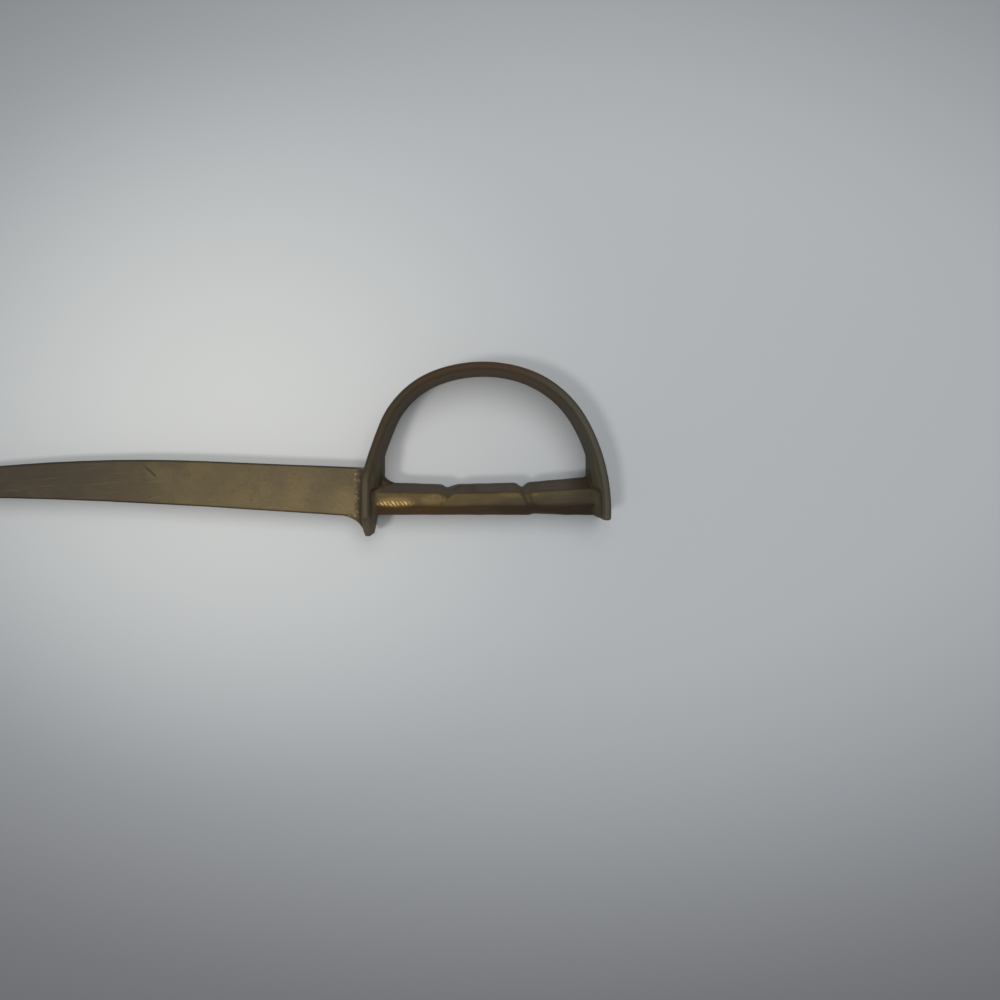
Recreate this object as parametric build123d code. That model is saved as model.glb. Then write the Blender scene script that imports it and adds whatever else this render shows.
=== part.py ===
from build123d import *
from math import atan2, degrees, hypot
import os

# A letter opener in the shape of a small sabre, all of brass, lying on its side. Lengths are in
# millimetres and angles in degrees. While it is drawn, x runs along the grip from the guard's blade
# side to the tail, y runs from the grip's axis towards the knuckle bow, and z = 0 is the middle of the
# blade's thickness. At the end every piece moves to the bottom centre of the whole.

# Blade, a flat strip with a straight forte and a curved point; a rise is its middle above the axis
blade_length = 140.0
blade_thickness = 1.8
blade_root_width = 12.4
blade_root_rise = 1.45
blade_forte_length = 40.0
blade_forte_width = 11.45
blade_forte_rise = 3.6
blade_tip_width = 1.0
blade_tip_rise = 0.5
blade_edge_bevel = 0.35

# Strap that forms the quillon, the guard, the knuckle bow and the tail
strap_thickness = 2.2
strap_depth = 16.0
strap_edge_round = 0.7
strap_end_round = 0.4
hilt_length = 60.3
tail_drop = 5.0

# Quillon, where the strap narrows below the blade; a drop is below the grip's axis
quillon_drop = 9.2
quillon_taper_length = 4.8
quillon_tip_depth = 7.0
quillon_tip_thickness = 1.5

# Line of the bow's outer face, as points that its arcs join
bow_height = 33.4
bow_root_height = 5.2
bow_root_bend = 6.0
crown_x = 29.5
front_crest_run = 12.0
front_crest_drop = 2.2
front_shoulder_inset = 4.6
front_shoulder_drop = 14.7
rear_crest_run = 9.5
rear_crest_drop = 1.4
rear_shoulder_inset = 5.5
rear_shoulder_drop = 14.2

# Pads that thicken the inside of the strap where the bow's ends meet the grip
front_pad_thickness = 1.75
rear_pad_thickness = 2.05
pad_start_height = 2.6

# Grip, an eight-sided rod with a straight underside, measured across its flats
grip_sides = 8
grip_underside = 4.1
grip_front_flats = 8.2
grip_waist_flats = 7.6
grip_middle_flats = 8.1
grip_rear_flats = 9.7
grip_corner_round = 0.9

# Notches filed into the grip's bow side, each leaning from square to the axis, with the widths of its
# two slopes, towards the guard and towards the tail; the ring that cuts one lies off the grip's middle,
# so that the notch fades out at the underside
front_notch_x = 19.9
front_notch_lean = -8.0
front_notch_depth = 0.7
front_notch_guard_slope = 1.5
front_notch_tail_slope = 1.5
rear_notch_x = 40.3
rear_notch_lean = 20.0
rear_notch_depth = 1.05
rear_notch_guard_slope = 0.6
rear_notch_tail_slope = 2.6
notch_shift = 0.5

# Tang, which runs through the guard and the grip and ends as a rivet in the tail
tang_width = 4.0
tang_clearance = 0.1
rivet_diameter = 3.0
rivet_head_diameter = 4.6
rivet_head_depth = 1.0
rivet_clearance = 0.05
rivet_root_length = 3.0

# Brazing metal in the corners; a shift moves a ring round the grip towards the bow
blade_braze_reach = 3.0
quillon_cove_length = 6.5
front_braze_reach = 1.2
front_braze_shift = 0.3
rear_braze_reach = 2.0
rear_braze_shift = 0.2
braze_edge = 0.15
front_cove_radius = 4.0
rear_cove_radius = 2.0
bow_cove_depth = 4.4

# Extra length of a cutting tool past the piece that it cuts
overrun = 2.0

guard_middle = strap_thickness / 2
guard_inside = strap_thickness
tang_bore_radius = hypot(tang_width, blade_thickness) / 2 + tang_clearance


def bow_line():
    """The strap's outer face in plan, from the quillon's root by the guard and the crown to the tail."""
    quillon_root = (0, quillon_taper_length - quillon_drop)
    bow_root = (0, bow_root_height)
    crown = (crown_x, bow_height)
    front_crest = (crown_x - front_crest_run, bow_height - front_crest_drop)
    front_shoulder = (front_shoulder_inset, bow_height - front_shoulder_drop)
    rear_crest = (crown_x + rear_crest_run, bow_height - rear_crest_drop)
    rear_shoulder = (hilt_length - rear_shoulder_inset, bow_height - rear_shoulder_drop)
    tail = (hilt_length, -tail_drop)
    # Each side of the bow is a chain of tangent arcs that starts level at the crown.
    runs = [Line(quillon_root, bow_root)]
    for heading, stops in (
        ((-1, 0), (crown, front_crest, front_shoulder, bow_root)),
        ((1, 0), (crown, rear_crest, rear_shoulder, tail)),
    ):
        for start, end in zip(stops, stops[1:]):
            arc = TangentArc(start, end, tangent=heading)
            heading = arc % 1
            runs.append(arc)
    line = Wire(runs)
    bend = line.vertices().sort_by_distance(bow_root)[0]
    return line.fillet_2d(bow_root_bend, [bend])


def strap_section(drop, thickness, depth):
    """The strap's section, square to the guard at a drop below the grip's axis."""
    plane = Plane(origin=(guard_middle, -drop, 0), x_dir=(1, 0, 0), z_dir=(0, 1, 0))
    return plane * RectangleRounded(thickness, depth, strap_edge_round)


def strap_blank(line):
    """The bent strap with its tapered quillon and softened ends, before it is pierced."""
    root_section = strap_section(quillon_drop - quillon_taper_length, strap_thickness, strap_depth)
    tip_section = strap_section(quillon_drop, quillon_tip_thickness, quillon_tip_depth)
    quillon = loft([tip_section, root_section], ruled=True)
    strap = sweep(root_section, path=line) + quillon
    quillon_end = strap.faces().sort_by_distance((guard_middle, -quillon_drop, 0))[0]
    strap = fillet(quillon_end.edges(), strap_end_round)
    tail_end = strap.faces().filter_by(GeomType.PLANE).sort_by_distance((hilt_length, -tail_drop, 0))[0]
    return fillet(tail_end.edges(), strap_end_round)


def largest(shape):
    """The largest solid of a cut, without the slivers that it leaves."""
    return shape.solids().sort_by(SortBy.VOLUME)[-1]


def filled_bow(line):
    """The block that the strap's outer face encloses, as deep as the strap's flat sides."""
    closing = Line(line @ 1, line @ 0)
    return extrude(make_face([*line.edges(), closing]), strap_depth / 2 - strap_edge_round, both=True)


def bow_pads(filled, tail_inside):
    """The pads inside both ends of the bow, each ending where the strap curves across it."""
    pads = []
    for outer, inner in (
        (guard_middle, guard_inside + front_pad_thickness),
        (tail_inside + guard_middle, tail_inside - rear_pad_thickness),
    ):
        height = bow_height / 2 - pad_start_height
        middle = Pos((outer + inner) / 2, pad_start_height + height / 2, 0)
        pads.append(middle * Box(abs(outer - inner), height, strap_depth) & filled)
    return pads


def along_axis(start, end, radius, end_radius=None):
    """A round bar along the grip's axis, or a cone if its end has another radius."""
    plane = Plane(origin=(start, 0, 0), z_dir=(1, 0, 0))
    align = (Align.CENTER, Align.CENTER, Align.MIN)
    if end_radius is None:
        return plane * Cylinder(radius, end - start, align=align)
    return plane * Cone(radius, end_radius, end - start, align=align)


def tang_bar(start, end, clearance=0.0):
    """The tang's flat bar along the grip's axis, or the slot for it with a clearance."""
    width = tang_width + 2 * clearance
    thickness = blade_thickness + 2 * clearance
    return Pos((start + end) / 2, 0, 0) * Box(end - start, width, thickness)


def rivet(tail_outside, clearance=0.0):
    """The rivet's round stub and countersunk head, or the hole for them with a clearance."""
    radius = rivet_diameter / 2 + clearance
    head_slope = (rivet_head_diameter - rivet_diameter) / 2 / rivet_head_depth
    head_end_radius = radius + head_slope * (rivet_head_depth + overrun)
    stub_start = tail_outside - strap_thickness - rivet_root_length
    head_start = tail_outside - rivet_head_depth
    stub = along_axis(stub_start, tail_outside + overrun, radius)
    return stub + along_axis(head_start, tail_outside + overrun, radius, head_end_radius)


def blade_outline():
    """The blade in plan, from inside the guard to its point."""
    root_high = (guard_middle, blade_root_rise + blade_root_width / 2)
    root_low = (guard_middle, blade_root_rise - blade_root_width / 2)
    forte_high = (-blade_forte_length, blade_forte_rise + blade_forte_width / 2)
    forte_low = (-blade_forte_length, blade_forte_rise - blade_forte_width / 2)
    nose = (-blade_length, blade_tip_rise)
    nose_root = blade_tip_width / 2 - blade_length
    nose_high = (nose_root, blade_tip_rise + blade_tip_width / 2)
    nose_low = (nose_root, blade_tip_rise - blade_tip_width / 2)
    back = Line(root_high, forte_high)
    edge = Line(root_low, forte_low)
    return make_face(
        [
            back,
            TangentArc(forte_high, nose_high, tangent=back % 1),
            ThreePointArc(nose_high, nose, nose_low),
            TangentArc(forte_low, nose_low, tangent=edge % 1),
            edge,
            Line(root_low, root_high),
        ]
    )


def make_blade(strap, filled, space, tail_outside):
    """The blade cut to the guard, with its tang and the rivet that the tang ends in."""
    plate = extrude(blade_outline(), blade_thickness / 2, both=True)
    rims = plate.edges().group_by(Axis.Z)
    plate = chamfer(rims[0] + rims[-1], blade_edge_bevel) - strap
    through_guard = tang_bar(-overrun, guard_inside + overrun)
    through_grip = tang_bar(guard_inside, hilt_length + overrun) & space
    return plate + through_guard + through_grip + (rivet(tail_outside) & filled)


def make_guard_bow(strap, tail_outside):
    """The strap with the tang's slot in its guard and the rivet's countersunk hole in its tail."""
    slot = tang_bar(-overrun, guard_inside + overrun, tang_clearance)
    return strap - slot - rivet(tail_outside, rivet_clearance)


def grip_section(x, flats):
    """The grip's eight-sided section, resting on its straight underside."""
    plane = Plane(origin=(x, flats / 2 - grip_underside, 0), x_dir=(0, 1, 0), z_dir=(1, 0, 0))
    side_angle = 360 / grip_sides
    outline = RegularPolygon(flats / 2, grip_sides, major_radius=False, rotation=side_angle / 2)
    return plane * fillet(outline.vertices(), grip_corner_round)


def notch(x, flats, lean, depth, guard_slope, tail_slope):
    """The V-shaped ring that is filed out of the grip, deepest on the bow side."""
    floor_radius = flats / 2 - depth + notch_shift
    height = depth + overrun
    outline = Polyline(
        (0, floor_radius),
        (tail_slope * height / depth, floor_radius + height),
        (-guard_slope * height / depth, floor_radius + height),
        close=True,
    )
    ring = revolve(make_face(outline), Axis.X)
    centre_y = flats / 2 - grip_underside - notch_shift
    return Pos(x, centre_y, 0) * Rot(0, 0, lean) * ring


def grip_stations(tail_inside):
    """The places along the grip where its width across the flats is set, with those widths."""
    return [
        (guard_middle, grip_front_flats),
        (front_notch_x, grip_waist_flats),
        (rear_notch_x, grip_middle_flats),
        (tail_inside, grip_rear_flats),
    ]


def make_grip(space, bore, tail_inside):
    """The rod cut to fit between guard and tail, bored for the tang and notched."""
    sections = [grip_section(x, flats) for x, flats in grip_stations(tail_inside)]
    rod = (loft(sections, ruled=True) + extrude(sections[-1], strap_thickness)) & space
    front_notch = notch(
        front_notch_x,
        grip_waist_flats,
        front_notch_lean,
        front_notch_depth,
        front_notch_guard_slope,
        front_notch_tail_slope,
    )
    rear_notch = notch(
        rear_notch_x,
        grip_middle_flats,
        rear_notch_lean,
        rear_notch_depth,
        rear_notch_guard_slope,
        rear_notch_tail_slope,
    )
    return rod - bore - front_notch - rear_notch


def make_blade_braze(strap, blade):
    """Fillets on both faces of the blade along the guard, and a cove from its edge to the quillon."""
    half = blade_thickness / 2
    top = half + blade_braze_reach
    profile = make_face(
        [
            TangentArc((0, top), (-blade_braze_reach, half), tangent=(0, -1)),
            Line((-blade_braze_reach, half), (-blade_braze_reach, -half)),
            TangentArc((0, -top), (-blade_braze_reach, -half), tangent=(0, 1)),
            Polyline((0, top), (guard_middle, top), (guard_middle, -top), (0, -top)),
        ]
    )
    outline = blade_outline()
    edge = outline.edges().filter_by(GeomType.LINE).sort_by(Axis.Y)[0]
    edge_root = edge.vertices().sort_by(Axis.X)[-1].center()
    corner = edge.intersect(Axis.Y)[0].center()
    cove_far = corner + (corner - edge_root).normalized() * quillon_cove_length
    cove_low = Vector(guard_middle - quillon_tip_thickness / 2, strap_end_round - quillon_drop)
    cove = make_face(
        [
            TangentArc(cove_far, cove_low, tangent=corner - cove_far),
            Polyline(cove_low, (guard_middle, cove_low.Y), edge_root, cove_far),
        ]
    )
    fillets = extrude(Plane.XZ * profile, blade_length, both=True) & extrude(outline + cove, top, both=True)
    return fillets + extrude(cove, half, both=True) - blade - strap


def braze_ring(flats, reach, shift):
    """A hollow-sided ring round the grip that stands on the plane x = 0 and reaches along +x."""
    foot_radius = flats / 2 + braze_edge
    top_radius = foot_radius + reach
    wall_middle = (tang_bore_radius + flats / 2) / 2
    outline = make_face(
        [
            TangentArc((0, top_radius), (reach, foot_radius), tangent=(0, -1)),
            Polyline((reach, foot_radius), (reach, wall_middle), (-braze_edge, wall_middle)),
            Polyline((-braze_edge, wall_middle), (-braze_edge, top_radius), (0, top_radius)),
        ]
    )
    return Pos(0, flats / 2 - grip_underside + shift, 0) * revolve(outline, Axis.X)


def below_pads(shape):
    """The part of a shape on the quillon's side of where the pads start."""
    return split(shape, Plane(origin=(0, pad_start_height, 0), z_dir=(0, 1, 0)), keep=Keep.BOTTOM)


def bow_coves(space, tail_inside):
    """The coves that round off the finger gap where the grip meets the bow's two ends."""
    bow_side = [(x, flats - grip_underside) for x, flats in grip_stations(tail_inside)]
    tail_end = (tail_inside + strap_thickness, grip_rear_flats - grip_underside)
    below = [(tail_end[0], -bow_height), (guard_middle, -bow_height)]
    grip_plan = make_face(Polyline(*bow_side, tail_end, *below, close=True))
    gap = (section(space, section_by=Plane.XY) - grip_plan).faces().sort_by(SortBy.AREA)[-1]
    coves = []
    for radius, end in ((front_cove_radius, 0), (rear_cove_radius, -1)):
        rounded_gap = offset(offset(gap, -radius), radius)
        corners = (gap - rounded_gap).faces().sort_by(SortBy.AREA)[-2:].sort_by(Axis.X)
        coves.append(extrude(corners[end], bow_cove_depth / 2, both=True))
    return coves


def make_grip_front_braze(space, bore, grip):
    """The ring in the corner of grip and guard, up to the pad."""
    ring = Pos(guard_inside, 0, 0) * braze_ring(grip_front_flats, front_braze_reach, front_braze_shift)
    return largest(below_pads(ring & space) - bore - grip)


def make_grip_rear_braze(space, bore, grip, tail_inside, tail_lean):
    """The ring in the corner of grip and tail, leaning as the tail does, up to the pad."""
    ring = Rot(0, 180, 0) * braze_ring(grip_rear_flats, rear_braze_reach, rear_braze_shift)
    ring = Pos(tail_inside, 0, 0) * Rot(0, 0, tail_lean) * ring
    return largest(below_pads(ring & space) - bore - grip)


def place(pieces):
    """Every piece moved alike, so that the origin is the bottom centre of the whole."""
    box = Compound([piece.solid() for piece in pieces.values()]).bounding_box()
    centre = box.center()
    move = Pos(-centre.X, -centre.Y, -box.min.Z)
    return {name: move * piece.solid() for name, piece in pieces.items()}


def main():
    line = bow_line()
    filled = filled_bow(line)
    # The grip's axis leaves the strap at the tail, where the rivet's head is.
    tail_point = line.intersect(Axis.X).sort_by(Axis.X)[-1]
    tail_outside = tail_point.X
    tail_inside = tail_outside - strap_thickness
    tail_heading = line.tangent_at(tail_point)
    tail_lean = degrees(atan2(tail_heading.X, -tail_heading.Y))
    strap = strap_blank(line) + bow_pads(filled, tail_inside)
    space = largest(filled - strap)
    blade = make_blade(strap, filled, space, tail_outside)
    bore = along_axis(-overrun, tail_outside, tang_bore_radius)
    grip = make_grip(space, bore, tail_inside)
    bow_front_braze, bow_rear_braze = bow_coves(space, tail_inside)
    pieces = {
        "blade": blade,
        "guard_bow": make_guard_bow(strap, tail_outside),
        "grip": grip,
        "blade_braze": make_blade_braze(strap, blade),
        "grip_front_braze": make_grip_front_braze(space, bore, grip),
        "grip_rear_braze": make_grip_rear_braze(space, bore, grip, tail_inside, tail_lean),
        "bow_front_braze": bow_front_braze - grip,
        "bow_rear_braze": bow_rear_braze - grip,
    }
    os.makedirs("parts", exist_ok=True)
    for name, piece in place(pieces).items():
        export_step(piece, f"parts/{name}.step")


main()
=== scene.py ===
from math import pi, radians

import bmesh
import bpy
import numpy as np
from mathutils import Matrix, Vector, noise


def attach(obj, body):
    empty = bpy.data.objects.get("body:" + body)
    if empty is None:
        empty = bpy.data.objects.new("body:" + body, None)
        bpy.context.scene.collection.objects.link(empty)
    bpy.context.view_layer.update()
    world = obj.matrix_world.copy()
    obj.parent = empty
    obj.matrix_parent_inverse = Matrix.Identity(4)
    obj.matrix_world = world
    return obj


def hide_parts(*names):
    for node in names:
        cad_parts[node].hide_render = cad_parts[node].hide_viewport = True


# A letter opener in the shape of a small sabre, in old tarnished brass, lying on its side on a pale
# table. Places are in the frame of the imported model: x runs from the blade's point to the tail, y from
# the grip to the knuckle bow, and z up from the table. Sizes and places are written in millimetres.

MM = 0.001

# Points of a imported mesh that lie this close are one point, and edges that turn by more than this angle,
# in degrees, stay sharp
MERGE_DISTANCE = 0.001
SHARP_ANGLE = 50

# Brazing metal: the voxels of its skin, how far it draws in, and the size of its lumps
BRAZE_VOXEL = 0.22
BRAZE_SHRINK = 0.05
BRAZE_LUMPS = 0.9

# Boxes that limit where brazing metal has run, each from its low corner to its high one
BLADE_ROOT = ((33, -23, -1), (41.5, 1, 17))
FRONT_CORNERS = ((41, -23, -1), (51, 3, 17))
REAR_CORNERS = ((89, -23, -1), (101, 3, 17))

# The pads inside the bow's ends slope off towards both sides of the strap, further on the upper side. A
# run follows the strap's inner face in plan, with the side of it that the gap is on. A slope's corners
# are depths into the gap and heights.
PAD_RUNS = (((42.1, -10.2), (45.4, 3.0), 1), ((97.7, -9.9), (95.2, 1.0), -1))
PAD_SLOPES = (((-0.8, 18), (3.2, 6.6), (7, 18)), ((-0.8, -0.9), (3.2, 3.7), (7, -2)))

# Camera, straight above the hilt, with its sensor and lens in millimetres
CAMERA_PLACE = (69.5, -1.5, 191)
CAMERA_SENSOR = 36.0
CAMERA_LENS = 26.28
CAMERA_SHIFT = (0.016, -0.044)

# Light: the sky, a wide lamp overhead, and a small one over the picture's lower left, which draws the
# hard shadows
SKY_COLOUR = (0.9, 0.96, 1.0, 1.0)
SKY_STRENGTH = 0.27
LAMP_AIM = (60, 0, 0)
CEILING_LAMP = {"place": (170, 300, 1050), "size": 800, "power": 6.0, "tint": (0.98, 0.99, 1.0)}
KEY_LAMP = {"place": (-240, -190, 900), "size": 150, "power": 2.35, "tint": (1.0, 0.98, 0.95)}

# Half the table's width
TABLE_REACH = 3000

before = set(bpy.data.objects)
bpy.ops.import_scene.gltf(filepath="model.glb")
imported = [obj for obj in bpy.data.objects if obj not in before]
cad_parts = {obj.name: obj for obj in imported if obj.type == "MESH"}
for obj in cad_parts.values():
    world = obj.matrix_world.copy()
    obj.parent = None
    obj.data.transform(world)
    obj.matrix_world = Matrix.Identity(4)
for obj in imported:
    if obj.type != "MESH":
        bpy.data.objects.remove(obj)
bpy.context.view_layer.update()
scene = bpy.context.scene


# Shader arithmetic

class Value:
    """A shader socket that takes part in plain arithmetic."""

    def __init__(self, finish, socket):
        self.finish = finish
        self.socket = socket

    def maths(self, operation, *terms):
        return self.finish.node("ShaderNodeMath", {"operation": operation}, dict(enumerate(terms)))

    def __add__(self, other):
        return self.maths("ADD", self, other)

    def __radd__(self, other):
        return self.maths("ADD", other, self)

    def __sub__(self, other):
        return self.maths("SUBTRACT", self, other)

    def __rsub__(self, other):
        return self.maths("SUBTRACT", other, self)

    def __mul__(self, other):
        return self.maths("MULTIPLY", self, other)

    def __rmul__(self, other):
        return self.maths("MULTIPLY", other, self)

    def __abs__(self):
        return self.maths("ABSOLUTE", self)

    def rise(self, low, high):
        """Zero on low's side, one on high's side, and a smooth rise between them."""
        return self.finish.node(
            "ShaderNodeMapRange",
            {"interpolation_type": "SMOOTHSTEP"},
            {"Value": self, "From Min": low, "From Max": high},
        )


class Finish:
    """A metal finish or a paint, built from nodes that read the piece's own coordinates."""

    def __init__(self, name):
        self.material = bpy.data.materials.new(name)
        self.material.use_nodes = True
        self.tree = self.material.node_tree
        self.shader = self.tree.nodes["Principled BSDF"]
        self.place = self.node("ShaderNodeTexCoord", output="Object")
        self.x, self.y = (self.part(self.place, axis) for axis in "XY")
        facing = self.node("ShaderNodeTexCoord", output="Normal")
        self.facing_x, self.facing_y, self.facing_z = (self.part(facing, axis) for axis in "XYZ")

    def node(self, kind, settings=None, inputs=None, output=0):
        """A node of any kind, with its settings first and then its sockets' values or links."""
        made = self.tree.nodes.new(kind)
        for name, setting in (settings or {}).items():
            setattr(made, name, setting)
        for name, given in (inputs or {}).items():
            if isinstance(given, Value):
                self.tree.links.new(given.socket, made.inputs[name])
            else:
                made.inputs[name].default_value = given
        return Value(self, made.outputs[output])

    def part(self, vector, axis):
        return self.node("ShaderNodeSeparateXYZ", None, {"Vector": vector}, output=axis)

    def vector(self, operation, *terms, output=0):
        return self.node("ShaderNodeVectorMath", {"operation": operation}, dict(enumerate(terms)), output)

    def mix(self, below, above, share):
        """One colour over another."""
        return self.node(
            "ShaderNodeMix", {"data_type": "RGBA"}, {0: share, 6: below, 7: above}, output=2
        )

    def along(self, start, end):
        """A smooth rise from zero to one between two places along the opener."""
        return self.x.rise(start * MM, end * MM)

    def across(self, start, end):
        """A smooth rise from zero to one between two places across the opener."""
        return self.y.rise(start * MM, end * MM)

    def speckle(self, size, detail=3.0, roughness=0.55, stretch=(1, 1, 1), turn=0.0):
        """Noise whose patches are about as large as size, drawn out along an axis by stretch."""
        place = self.node(
            "ShaderNodeMapping",
            {"vector_type": "TEXTURE"},
            {"Vector": self.place, "Rotation": (0, 0, radians(turn)), "Scale": stretch},
        )
        return self.node(
            "ShaderNodeTexNoise",
            None,
            {"Vector": place, "Scale": 1 / (size * MM), "Detail": detail, "Roughness": roughness},
        )

    def hatching(self, spacing, turn):
        """Fine parallel strokes, a little uneven, at an angle in plan."""
        place = self.node(
            "ShaderNodeMapping",
            {"vector_type": "TEXTURE"},
            {"Vector": self.place, "Rotation": (0, 0, radians(turn))},
        )
        # A wave texture of scale 1 turns through 20 radians in a metre.
        waves_per_scale = 20 / (2 * pi)
        return self.node(
            "ShaderNodeTexWave",
            {"wave_type": "BANDS", "bands_direction": "X"},
            {
                "Vector": place,
                "Scale": 1 / (spacing * MM * waves_per_scale),
                "Distortion": 1.5,
                "Detail": 2.0,
                "Detail Scale": 1.5,
            },
            output="Fac",
        )

    def stroke(self, start, end, width):
        """One along a line between two points in plan, falling to zero at its width."""
        start, end = (Vector((x * MM, y * MM, 0)) for x, y in (start, end))
        run = end - start
        flat = self.vector("MULTIPLY", self.place, (1, 1, 0))
        offset = self.vector("SUBTRACT", flat, start)
        share = self.vector("DOT_PRODUCT", offset, run / run.length_squared, output="Value")
        share = self.node("ShaderNodeClamp", None, {"Value": share})
        foot = self.node(
            "ShaderNodeVectorMath", {"operation": "SCALE"}, {0: run, "Scale": share}
        )
        beside = self.vector("SUBTRACT", offset, foot)
        away = self.vector("LENGTH", beside, output="Value")
        return away.rise(width * MM, 0.0)

    def patch(self, centre, half_size, core=0.4):
        """One in the core of an ellipse in plan, falling to zero at its rim."""
        offset = self.vector("SUBTRACT", self.place, (centre[0] * MM, centre[1] * MM, 0))
        share = self.vector("MULTIPLY", offset, (1 / (half_size[0] * MM), 1 / (half_size[1] * MM), 0))
        away = self.vector("LENGTH", share, output="Value")
        return away.rise(1.0, core)

    def hollows(self):
        """One in the hollows of a piece that carries its relief, and zero elsewhere."""
        relief = self.node("ShaderNodeAttribute", {"attribute_name": "relief"}, output="Fac")
        return relief.rise(-0.03, -0.25)

    def feed(self, socket, value):
        if isinstance(value, Value):
            self.tree.links.new(value.socket, self.shader.inputs[socket])
        else:
            self.shader.inputs[socket].default_value = value

    def bump(self, height, depth):
        normal = self.node(
            "ShaderNodeBump", None, {"Height": height, "Distance": depth * MM, "Strength": 1.0}
        )
        self.feed("Normal", normal)


def colour(red, green, blue):
    """A colour as it looks in a picture, in steps of 0 to 255, as the shader wants it."""
    steps = [step / 255 for step in (red, green, blue)]
    linear = [step / 12.92 if step <= 0.04045 else ((step + 0.055) / 1.055) ** 2.4 for step in steps]
    return (*linear, 1.0)


# Finishes

def aged(finish, tone, pit_colour, hair_colour):
    """A tone with the small marks of age: pits, hairline scratches along and across, and fine grain."""
    grain = finish.speckle(0.6, 4.0, 0.7)
    pits = finish.speckle(1.1, 2.0, 0.6).rise(0.66, 0.76)
    along = finish.speckle(0.4, 2.0, 0.5, stretch=(26, 1, 4), turn=5).rise(0.6, 0.72)
    across = finish.speckle(0.4, 2.0, 0.5, stretch=(14, 1, 4), turn=-52).rise(0.66, 0.76)
    tone = finish.mix(tone, pit_colour, pits * 0.5)
    tone = finish.mix(tone, hair_colour, along * 0.16)
    tone = finish.mix(tone, pit_colour, across * 0.18)
    marks = 0.5 * grain - pits * 0.5 - along * 0.2 - across * 0.25
    return tone, grain, marks


def blade_finish():
    """Dull gold, browner towards the point and the back, with painted shade on its rims and one gouge on the
    upper face.
    """
    brass = Finish("blade_brass")
    brown = colour(62, 53, 39)
    gold = colour(101, 86, 53)
    back_brown = colour(64, 54, 40)
    root_brown = colour(74, 62, 39)
    root_gold = colour(128, 109, 66)
    cloud_brown = colour(74, 62, 46)
    cloud_gold = colour(110, 94, 54)
    stain = colour(72, 62, 46)
    gouge_dark = colour(38, 32, 25)
    rim_painted_shade = colour(50, 42, 33)

    tone = brass.mix(brown, gold, brass.along(-45, 24))
    tone = brass.mix(tone, back_brown, brass.across(-13, -3) * 0.4)
    tone = brass.mix(tone, root_brown, brass.along(24, 33) * 0.6)
    tone = brass.mix(tone, root_gold, brass.patch((35.2, -14.0), (9.0, 6.0)) * 0.4)
    cloud = brass.speckle(13, 4.0, 0.6, stretch=(1.6, 1, 1))
    tone = brass.mix(tone, cloud_brown, cloud.rise(0.5, 0.7) * 0.5)
    tone = brass.mix(tone, cloud_gold, cloud.rise(0.5, 0.3) * 0.45)
    stains = brass.speckle(3.5, 3.0, 0.6).rise(0.52, 0.72)
    tone = brass.mix(tone, stain, stains * 0.45)
    tone, grain, marks = aged(brass, tone, colour(54, 45, 33), colour(128, 111, 76))
    gouge = brass.stroke((-14.6, -4.6), (-12.6, -6.4), 0.42)
    nick = brass.stroke((-16.3, -2.9), (-14.6, -4.6), 0.26)
    cut = (gouge + 0.6 * nick) * brass.facing_z.rise(0.0, 0.5)
    tone = brass.mix(tone, gouge_dark, cut * 0.8)
    # Painted shade: the rims, whose faces turn away from straight up, are darkened.
    rim_shade_mask = abs(brass.facing_z).rise(0.97, 0.75)
    tone = brass.mix(tone, rim_painted_shade, rim_shade_mask * 0.7)

    brass.feed("Base Color", tone)
    brass.feed("Metallic", 0.5)
    brass.feed("Roughness", 0.46 + 0.2 * grain)
    brass.bump(marks - cut, 0.035)
    return brass.material


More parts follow.
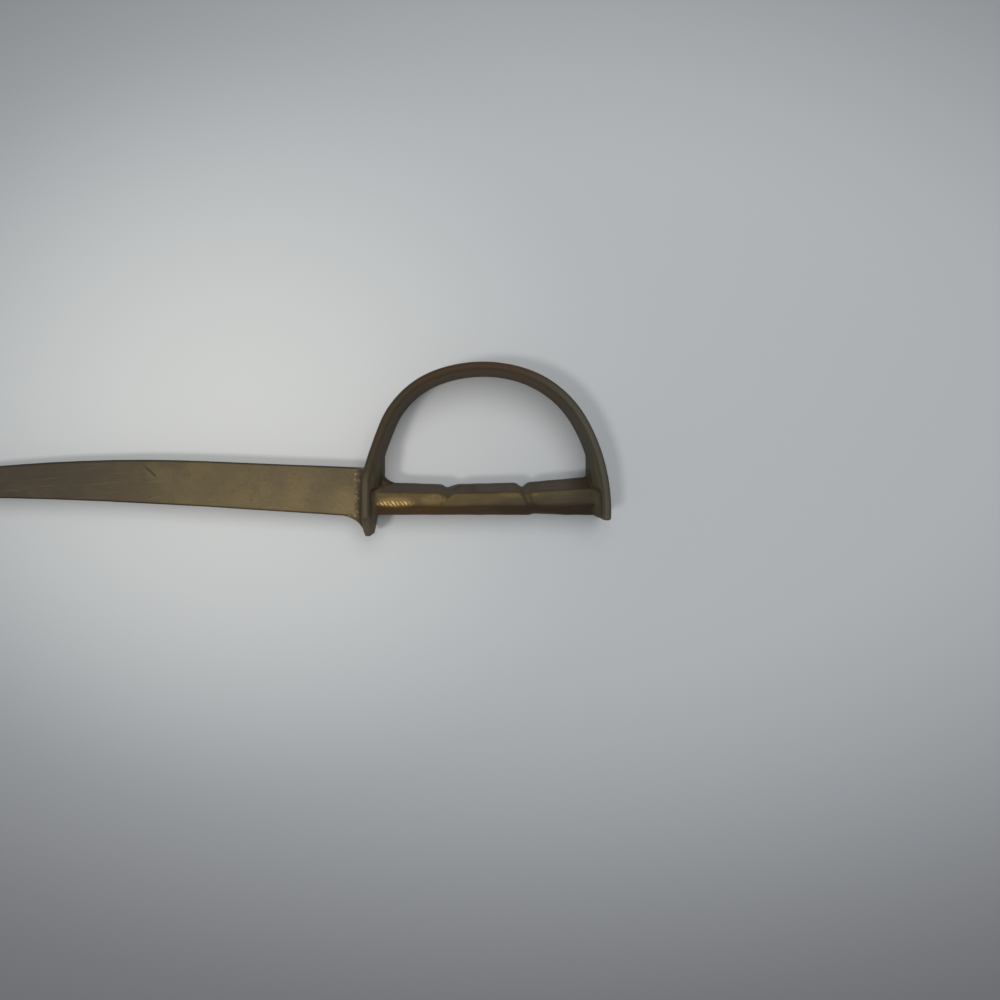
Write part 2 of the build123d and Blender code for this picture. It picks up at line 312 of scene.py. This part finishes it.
def strap_finish():
    """Dark brown tarnish, paler at the crown where light is painted, with painted dark reflection on the
    flat edges, a painted light-grey reflection on the edges at the rear, a painted highlight on the guard's
    ridge, and a paler quillon.
    """
    brass = Finish("strap_brass")
    rear_wall = colour(80, 69, 53)
    front_wall = colour(85, 74, 58)
    crown_wall_painted_light = colour(90, 74, 57)
    cloud_red = colour(88, 70, 49)
    cloud_grey = colour(74, 68, 57)
    tail_green = colour(86, 83, 71)
    edge_painted_dark_reflection = colour(59, 53, 43)
    crown_edge_painted_dark_reflection = colour(61, 50, 40)
    rear_edge_painted_reflection = colour(78, 76, 69)
    guard_ridge_painted_highlight = colour(88, 79, 63)
    quillon_pale = colour(100, 91, 76)
    grime = colour(34, 28, 22)

    cloud = brass.speckle(8, 4.0, 0.6)
    tone = brass.mix(rear_wall, front_wall, brass.along(75, 45))
    # Painted light: the crown, whose walls face away from the lamps, is made paler.
    crown = brass.patch((68, 18), (26, 16))
    tone = brass.mix(tone, crown_wall_painted_light, crown)
    tone = brass.mix(tone, cloud_red, cloud.rise(0.42, 0.7) * 0.6)
    tone = brass.mix(tone, cloud_grey, cloud.rise(0.46, 0.28) * 0.6)
    flat = abs(brass.facing_z).rise(0.6, 0.9)
    tone = brass.mix(tone, tail_green, brass.along(84, 96) * 0.7)
    # Painted dark reflection on the flat faces of the strap's edges.
    edge = brass.mix(edge_painted_dark_reflection, crown_edge_painted_dark_reflection, crown)
    tone = brass.mix(tone, edge, flat * 0.8)
    # Painted reflection: the flat edges at the rear are made light grey.
    rear = brass.along(72, 97) * brass.facing_x.rise(-0.5, -0.1)
    tone = brass.mix(tone, rear_edge_painted_reflection, flat * rear * 0.85)
    # Painted highlight along the flat top of the guard's ridge.
    guard = brass.along(46, 42) * brass.across(-4, -9)
    ridge = abs(brass.facing_z).rise(0.84, 0.98)
    tone = brass.mix(tone, guard_ridge_painted_highlight, guard * ridge * 0.8)
    tone = brass.mix(tone, quillon_pale, brass.across(-15, -19) * 0.85)
    tone, grain, marks = aged(brass, tone, colour(42, 36, 29), colour(84, 75, 60))
    tone = brass.mix(tone, grime, brass.hollows() * 0.25)

    brass.feed("Base Color", tone)
    brass.feed("Metallic", 0.15 + 0.2 * flat)
    brass.feed("Specular IOR Level", 0.2)
    brass.feed("Specular Tint", colour(190, 160, 120))
    brass.feed("Roughness", 0.54 + 0.18 * grain)
    brass.bump(marks, 0.03)
    return brass.material


def grip_finish():
    """Brown tarnish, rubbed bright in a band along the flats, brightest in short strokes by the guard, with
    a painted grey reflection on the faces towards the bow and painted shade on those towards the quillon.
    """
    brass = Finish("grip_brass")
    bow_side = colour(86, 79, 71)
    rear_under_painted_shade = colour(55, 43, 31)
    front_under_patina_and_shade = colour(86, 60, 36)
    dull_flat = colour(54, 46, 34)
    rear_rubbed = colour(70, 61, 42)
    front_rubbed = colour(83, 69, 44)
    cloud_brown = colour(66, 54, 39)
    gilt = colour(134, 112, 72)
    shine = colour(140, 115, 71)
    stroke_bright = colour(222, 186, 118)
    rear_end = colour(46, 39, 30)
    grime = colour(34, 28, 22)

    cloud = brass.speckle(6, 4.0, 0.6)
    front = brass.along(88, 50)
    # Painted reflection and shade by facing: the faces towards the bow take a grey reflection of the sky,
    # and those towards the quillon a painted dark shade over tarnish that is reddish brown towards the
    # front.
    underside_painted_shade = brass.mix(rear_under_painted_shade, front_under_patina_and_shade, front)
    tone = brass.mix(bow_side, underside_painted_shade, brass.facing_y.rise(0.25, -0.3))
    flat = abs(brass.facing_z).rise(0.7, 0.95)
    tone = brass.mix(tone, dull_flat, flat * 0.8)
    # The rubbed band's lower limit climbs towards the tail and wavers.
    waver = brass.speckle(2.5, 3.0, 0.6, stretch=(2, 1, 1))
    climb = 3.9 * MM * brass.along(50, 92)
    band_height = brass.y + 15.0 * MM - climb + 1.6 * MM * (waver - 0.5)
    band = flat * band_height.rise(-0.9 * MM, 0.9 * MM)
    rubbed = brass.mix(rear_rubbed, front_rubbed, front)
    tone = brass.mix(tone, rubbed, band * 0.95)
    tone = brass.mix(tone, cloud_brown, cloud.rise(0.48, 0.7) * 0.45)
    worn_spots = brass.patch((57.0, -11.9), (4.0, 1.9)) * 0.4 + brass.patch((78.0, -10.9), (6.0, 1.0)) * 0.35
    tone = brass.mix(tone, gilt, worn_spots * band * waver.rise(0.3, 0.6))
    tone, grain, marks = aged(brass, tone, colour(46, 38, 29), colour(124, 104, 70))
    upward = brass.facing_z.rise(0.0, 0.5)
    broken = brass.speckle(1.3, 2.0, 0.6).rise(0.38, 0.6) * upward
    strokes = brass.hatching(0.8, 38).rise(0.0, 1.0) * broken * brass.patch((47.6, -13.2), (5.4, 0.9))
    tone = brass.mix(tone, shine, brass.patch((47.6, -12.9), (6.0, 1.8)) * upward * 0.45)
    tone = brass.mix(tone, stroke_bright, strokes * 0.75)
    tone = brass.mix(tone, rear_end, brass.along(88, 95) * 0.8)
    tone = brass.mix(tone, grime, brass.hollows() * 0.2)

    brass.feed("Base Color", tone)
    brass.feed("Metallic", 0.35 + 0.25 * band)
    brass.feed("Specular IOR Level", 0.4)
    brass.feed("Specular Tint", colour(225, 210, 190))
    brass.feed("Roughness", 0.46 + 0.18 * grain)
    brass.bump(marks + 0.5 * strokes, 0.035)
    return brass.material


def seam_finish():
    """The bright, rough bead along the blade, with painted glints on its lumps, and painted shade, lighter
    towards the back, where it climbs the guard.
    """
    brass = Finish("seam_braze")
    low_climb_painted_shade = colour(62, 52, 37)
    high_climb_painted_shade = colour(86, 74, 60)
    bead_brown = colour(92, 78, 52)
    bead_painted_glint = colour(152, 131, 94)

    lumps = brass.speckle(0.8, 4.0, 0.65)
    bead = brass.along(39.2, 37.6)
    # Painted shade where the bead climbs the guard, lighter towards the back.
    climb = brass.mix(low_climb_painted_shade, high_climb_painted_shade, brass.across(-13, -6))
    tone = brass.mix(climb, bead_brown, bead)
    # Painted glints on the tops of the bead's lumps.
    tone = brass.mix(tone, bead_painted_glint, lumps.rise(0.5, 0.66) * bead * 0.9)
    tone, grain, marks = aged(brass, tone, colour(46, 38, 29), colour(110, 94, 66))

    brass.feed("Base Color", tone)
    brass.feed("Metallic", 0.45)
    brass.feed("Roughness", 0.46 + 0.16 * grain)
    brass.bump(marks + 2.0 * lumps, 0.05)
    return brass.material


def corner_finish():
    """Brazing metal that has run smooth in the hilt's corners, dark on the bow side."""
    brass = Finish("corner_braze")
    bow_side = colour(62, 54, 43)
    tail_green = colour(82, 80, 64)
    grip_end_dark = colour(50, 43, 33)
    front_lit = colour(98, 84, 61)
    lump_brown = colour(70, 58, 42)

    lumps = brass.speckle(1.4, 4.0, 0.65)
    rear = brass.mix(tail_green, grip_end_dark, brass.along(98.2, 95.2))
    lit = brass.mix(rear, front_lit, brass.along(70, 50))
    tone = brass.mix(bow_side, lit, brass.across(-8, -11))
    tone = brass.mix(tone, lump_brown, lumps.rise(0.45, 0.65) * 0.5)
    tone, grain, marks = aged(brass, tone, colour(42, 36, 29), colour(84, 75, 60))

    brass.feed("Base Color", tone)
    brass.feed("Metallic", 0.3)
    brass.feed("Specular IOR Level", 0.3)
    brass.feed("Specular Tint", colour(190, 170, 140))
    brass.feed("Roughness", 0.54 + 0.16 * grain)
    brass.bump(marks + 0.6 * lumps, 0.04)
    return brass.material


def table_finish():
    """Pale paint with a painted pool of light, brightest above the blade, and painted shade towards the far
    edges.
    """
    paint = Finish("table_paint")
    far_painted_shade = colour(112, 112, 116)
    near_grey = colour(180, 183, 186)
    painted_light_pool = colour(213, 213, 210)

    # Painted shade towards the edges of the table and a painted pool of light near the opener.
    near = paint.patch((90, 14), (330, 184), core=0.3)
    tone = paint.mix(far_painted_shade, near_grey, near)
    tone = paint.mix(tone, painted_light_pool, paint.patch((5, 8), (120, 105), core=0.0))

    paint.feed("Base Color", tone)
    paint.feed("Roughness", 0.6)
    return paint.material


# Pieces

def link(name, shape):
    """A new object in the scene with the shape's mesh."""
    mesh = bpy.data.meshes.new(name)
    shape.to_mesh(mesh)
    shape.free()
    made = bpy.data.objects.new(name, mesh)
    scene.collection.objects.link(made)
    return made


def evaluated(piece):
    """The piece's modifiers made part of its mesh."""
    drawn = piece.evaluated_get(bpy.context.evaluated_depsgraph_get())
    mesh = bpy.data.meshes.new_from_object(drawn)
    piece.modifiers.clear()
    piece.data = mesh


def blank(name, meshes):
    """One new object out of several meshes, each closed by merging its doubles."""
    whole = bmesh.new()
    for mesh in meshes:
        copy = mesh.copy()
        shell = bmesh.new()
        shell.from_mesh(copy)
        bmesh.ops.remove_doubles(shell, verts=shell.verts, dist=MERGE_DISTANCE * MM)
        shell.to_mesh(copy)
        shell.free()
        whole.from_mesh(copy)
        bpy.data.meshes.remove(copy)
    return link(name, whole)


def cover(piece, voxel, rounds, shrink=0.0, firm_below=None):
    """A fine even skin whose edges are softened in a number of rounds, except below a place in y."""
    skin = piece.modifiers.new("skin", "REMESH")
    skin.mode = "VOXEL"
    skin.voxel_size = voxel * MM
    evaluated(piece)
    flow = piece.modifiers.new("flow", "SMOOTH")
    flow.factor = 0.5
    flow.iterations = rounds
    if firm_below is not None:
        firm = piece.vertex_groups.new(name="firm")
        firm.add([v.index for v in piece.data.vertices if v.co.y < firm_below * MM], 1.0, "REPLACE")
        flow.vertex_group = firm.name
        flow.invert_vertex_group = True
    tight = piece.modifiers.new("tight", "DISPLACE")
    tight.strength = -shrink * MM
    tight.mid_level = 0.0
    evaluated(piece)


def sway(piece, depth, size):
    """Faces a little uneven, as hand work leaves them."""
    shell = bmesh.new()
    shell.from_mesh(piece.data)
    shell.normal_update()
    for vert in shell.verts:
        vert.co += vert.normal * noise.noise(vert.co / (size * MM)) * (depth * MM)
    shell.to_mesh(piece.data)
    shell.free()


def write_relief(mesh, voxel):
    """How far each point stands out of its neighbours, from hollows below zero to ridges above it."""
    count = len(mesh.vertices)
    places = np.empty(count * 3)
    mesh.vertices.foreach_get("co", places)
    places = places.reshape(-1, 3)
    normals = np.empty(count * 3)
    mesh.vertices.foreach_get("normal", normals)
    normals = normals.reshape(-1, 3)
    ends = np.empty(len(mesh.edges) * 2, dtype=np.int64)
    mesh.edges.foreach_get("vertices", ends)
    ends = ends.reshape(-1, 2)
    ways = ((ends[:, 0], ends[:, 1]), (ends[:, 1], ends[:, 0]))
    heard = np.zeros(count)
    around = np.zeros(count)
    for here, there in ways:
        fall = -np.einsum("ij,ij->i", places[there] - places[here], normals[here]) / (voxel * MM)
        np.add.at(around, here, fall)
        np.add.at(heard, here, 1)
    relief = around / np.maximum(heard, 1)
    softening_rounds = 4
    for _ in range(softening_rounds):
        spread = np.zeros(count)
        for here, there in ways:
            np.add.at(spread, here, relief[there])
        relief = 0.5 * relief + 0.5 * spread / np.maximum(heard, 1)
    attribute = mesh.attributes.new("relief", "FLOAT", "POINT")
    attribute.data.foreach_set("value", relief.astype(np.float32))


def finish_piece(piece, finish, slot, *nodes):
    """The piece in its finish, smooth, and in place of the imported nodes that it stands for."""
    mesh = piece.data
    mesh.materials.clear()
    mesh.materials.append(finish)
    mesh.shade_smooth()
    mesh.set_sharp_from_angle(angle=radians(SHARP_ANGLE))
    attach(piece, "root")
    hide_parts(*nodes)


def boolean(piece, operation, other):
    """A modifier that cuts the piece by another one."""
    cut = piece.modifiers.new("cut", "BOOLEAN")
    cut.operation = operation
    cut.solver = "MANIFOLD"
    cut.object = other


def pad_slope(foot, head, inward, corners):
    """A prism along a strap's inner face from foot to head in plan, which slopes a pad's side off."""
    shape = bmesh.new()
    run = Vector((head[0] - foot[0], head[1] - foot[1], 0))
    into_gap = Vector((run.y, -run.x, 0)).normalized() * inward
    start = Vector((foot[0], foot[1], 0))
    places = [start + into_gap * depth + Vector((0, 0, z)) for depth, z in corners]
    face = shape.faces.new([shape.verts.new(place * MM) for place in places])
    grown = bmesh.ops.extrude_face_region(shape, geom=[face])["geom"]
    far = [item for item in grown if isinstance(item, bmesh.types.BMVert)]
    bmesh.ops.translate(shape, verts=far, vec=run * MM)
    bmesh.ops.recalc_face_normals(shape, faces=shape.faces)
    return link("pad_slope", shape)


def worn(
    node, finish, slot, voxel, rounds, sway_depth, sway_size, grimy=False, firm_below=None, cutters=()
):
    """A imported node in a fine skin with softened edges, after any cutters have trimmed it."""
    piece = blank("worn_" + node, [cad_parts[node].data])
    for cutter in cutters:
        boolean(piece, "DIFFERENCE", cutter)
    evaluated(piece)
    for cutter in cutters:
        bpy.data.objects.remove(cutter)
    cover(piece, voxel, rounds, firm_below=firm_below)
    sway(piece, sway_depth, sway_size)
    if grimy:
        write_relief(piece.data, voxel)
    finish_piece(piece, finish, slot, node)
    return piece


def zone(low, high):
    """A box that limits where brazing metal has run."""
    shape = bmesh.new()
    bmesh.ops.create_cube(shape, size=1.0)
    size = [(b - a) * MM for a, b in zip(low, high)]
    middle = [(a + b) / 2 * MM for a, b in zip(low, high)]
    bmesh.ops.scale(shape, verts=shape.verts, vec=size)
    bmesh.ops.translate(shape, verts=shape.verts, vec=middle)
    return link("zone", shape)


def islands(shell):
    """The separate bodies in a mesh, each as a list of faces."""
    left = set(shell.faces)
    found = []
    while left:
        stack = [left.pop()]
        group = list(stack)
        while stack:
            face = stack.pop()
            near = {n for edge in face.edges for n in edge.link_faces} & left
            left -= near
            stack.extend(near)
            group.extend(near)
        found.append(group)
    return found


def span(faces):
    """The diagonal of the box round some faces."""
    places = np.array([vert.co for face in faces for vert in face.verts])
    return np.linalg.norm(places.max(0) - places.min(0))


def keep_largest(piece):
    """The piece without the crumbs that a cut leaves beside its main body."""
    shell = bmesh.new()
    shell.from_mesh(piece.data)
    groups = sorted(islands(shell), key=span)
    spare = [face for group in groups[:-1] for face in group]
    bmesh.ops.delete(shell, geom=spare, context="FACES")
    shell.to_mesh(piece.data)
    shell.free()


def run_braze(name, finish, joined, fillers, limits, rounds, rough):
    """Brazing metal that has run into the corners between joined pieces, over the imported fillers."""
    fill = [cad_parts[node].data for node in fillers]
    piece = blank(name, [part.data for part in joined] + fill)
    cover(piece, BRAZE_VOXEL, rounds, shrink=BRAZE_SHRINK)
    sway(piece, rough, BRAZE_LUMPS)
    box = zone(*limits)
    boolean(piece, "INTERSECT", box)
    for part in joined:
        boolean(piece, "DIFFERENCE", part)
    evaluated(piece)
    bpy.data.objects.remove(box)
    keep_largest(piece)
    finish_piece(piece, finish, "braze_metal", *fillers)


# Opener

blade = worn(
    "blade",
    blade_finish(),
    "blade_brass",
    voxel=0.26,
    rounds=3,
    sway_depth=0.05,
    sway_size=14,
)
strap = worn(
    "guard_bow",
    strap_finish(),
    "strap_brass",
    voxel=0.26,
    rounds=16,
    sway_depth=0.06,
    sway_size=9,
    grimy=True,
    firm_below=-18,
    cutters=[pad_slope(*run, corners) for run in PAD_RUNS for corners in PAD_SLOPES],
)
grip = worn(
    "grip",
    grip_finish(),
    "grip_brass",
    voxel=0.24,
    rounds=30,
    sway_depth=0.09,
    sway_size=4,
    grimy=True,
)
run_braze(
    "run_blade_braze",
    seam_finish(),
    joined=(blade, strap),
    fillers=("blade_braze",),
    limits=BLADE_ROOT,
    rounds=40,
    rough=0.04,
)
corner = corner_finish()
run_braze(
    "run_front_braze",
    corner,
    joined=(strap, grip),
    fillers=("grip_front_braze", "bow_front_braze"),
    limits=FRONT_CORNERS,
    rounds=160,
    rough=0.02,
)
run_braze(
    "run_rear_braze",
    corner,
    joined=(strap, grip),
    fillers=("grip_rear_braze", "bow_rear_braze"),
    limits=REAR_CORNERS,
    rounds=70,
    rough=0.02,
)


# Table, light and camera

def table_top():
    shape = bmesh.new()
    bmesh.ops.create_grid(shape, x_segments=1, y_segments=1, size=TABLE_REACH * MM)
    table = link("table_top", shape)
    table.data.materials.append(table_finish())


def soft_lamp(name, place, size, power, tint):
    lamp = bpy.data.lights.new(name, "AREA")
    lamp.shape = "DISK"
    lamp.size = size * MM
    lamp.energy = power
    lamp.color = tint
    holder = bpy.data.objects.new(name, lamp)
    holder.location = Vector(place) * MM
    holder.rotation_euler = (Vector(LAMP_AIM) - Vector(place)).to_track_quat("-Z", "Y").to_euler()
    scene.collection.objects.link(holder)


def room_light():
    world = bpy.data.worlds.new("room")
    world.use_nodes = True
    sky = world.node_tree.nodes["Background"]
    sky.inputs["Color"].default_value = SKY_COLOUR
    sky.inputs["Strength"].default_value = SKY_STRENGTH
    scene.world = world


def camera():
    eye = bpy.data.cameras.new("camera")
    eye.sensor_width = CAMERA_SENSOR
    eye.lens = CAMERA_LENS
    eye.shift_x, eye.shift_y = CAMERA_SHIFT
    eye.clip_start = 10 * MM
    holder = bpy.data.objects.new("camera", eye)
    holder.location = Vector(CAMERA_PLACE) * MM
    scene.collection.objects.link(holder)
    scene.camera = holder


table_top()
room_light()
soft_lamp("ceiling_lamp", **CEILING_LAMP)
soft_lamp("key_lamp", **KEY_LAMP)
camera()
scene.view_settings.view_transform = "Standard"
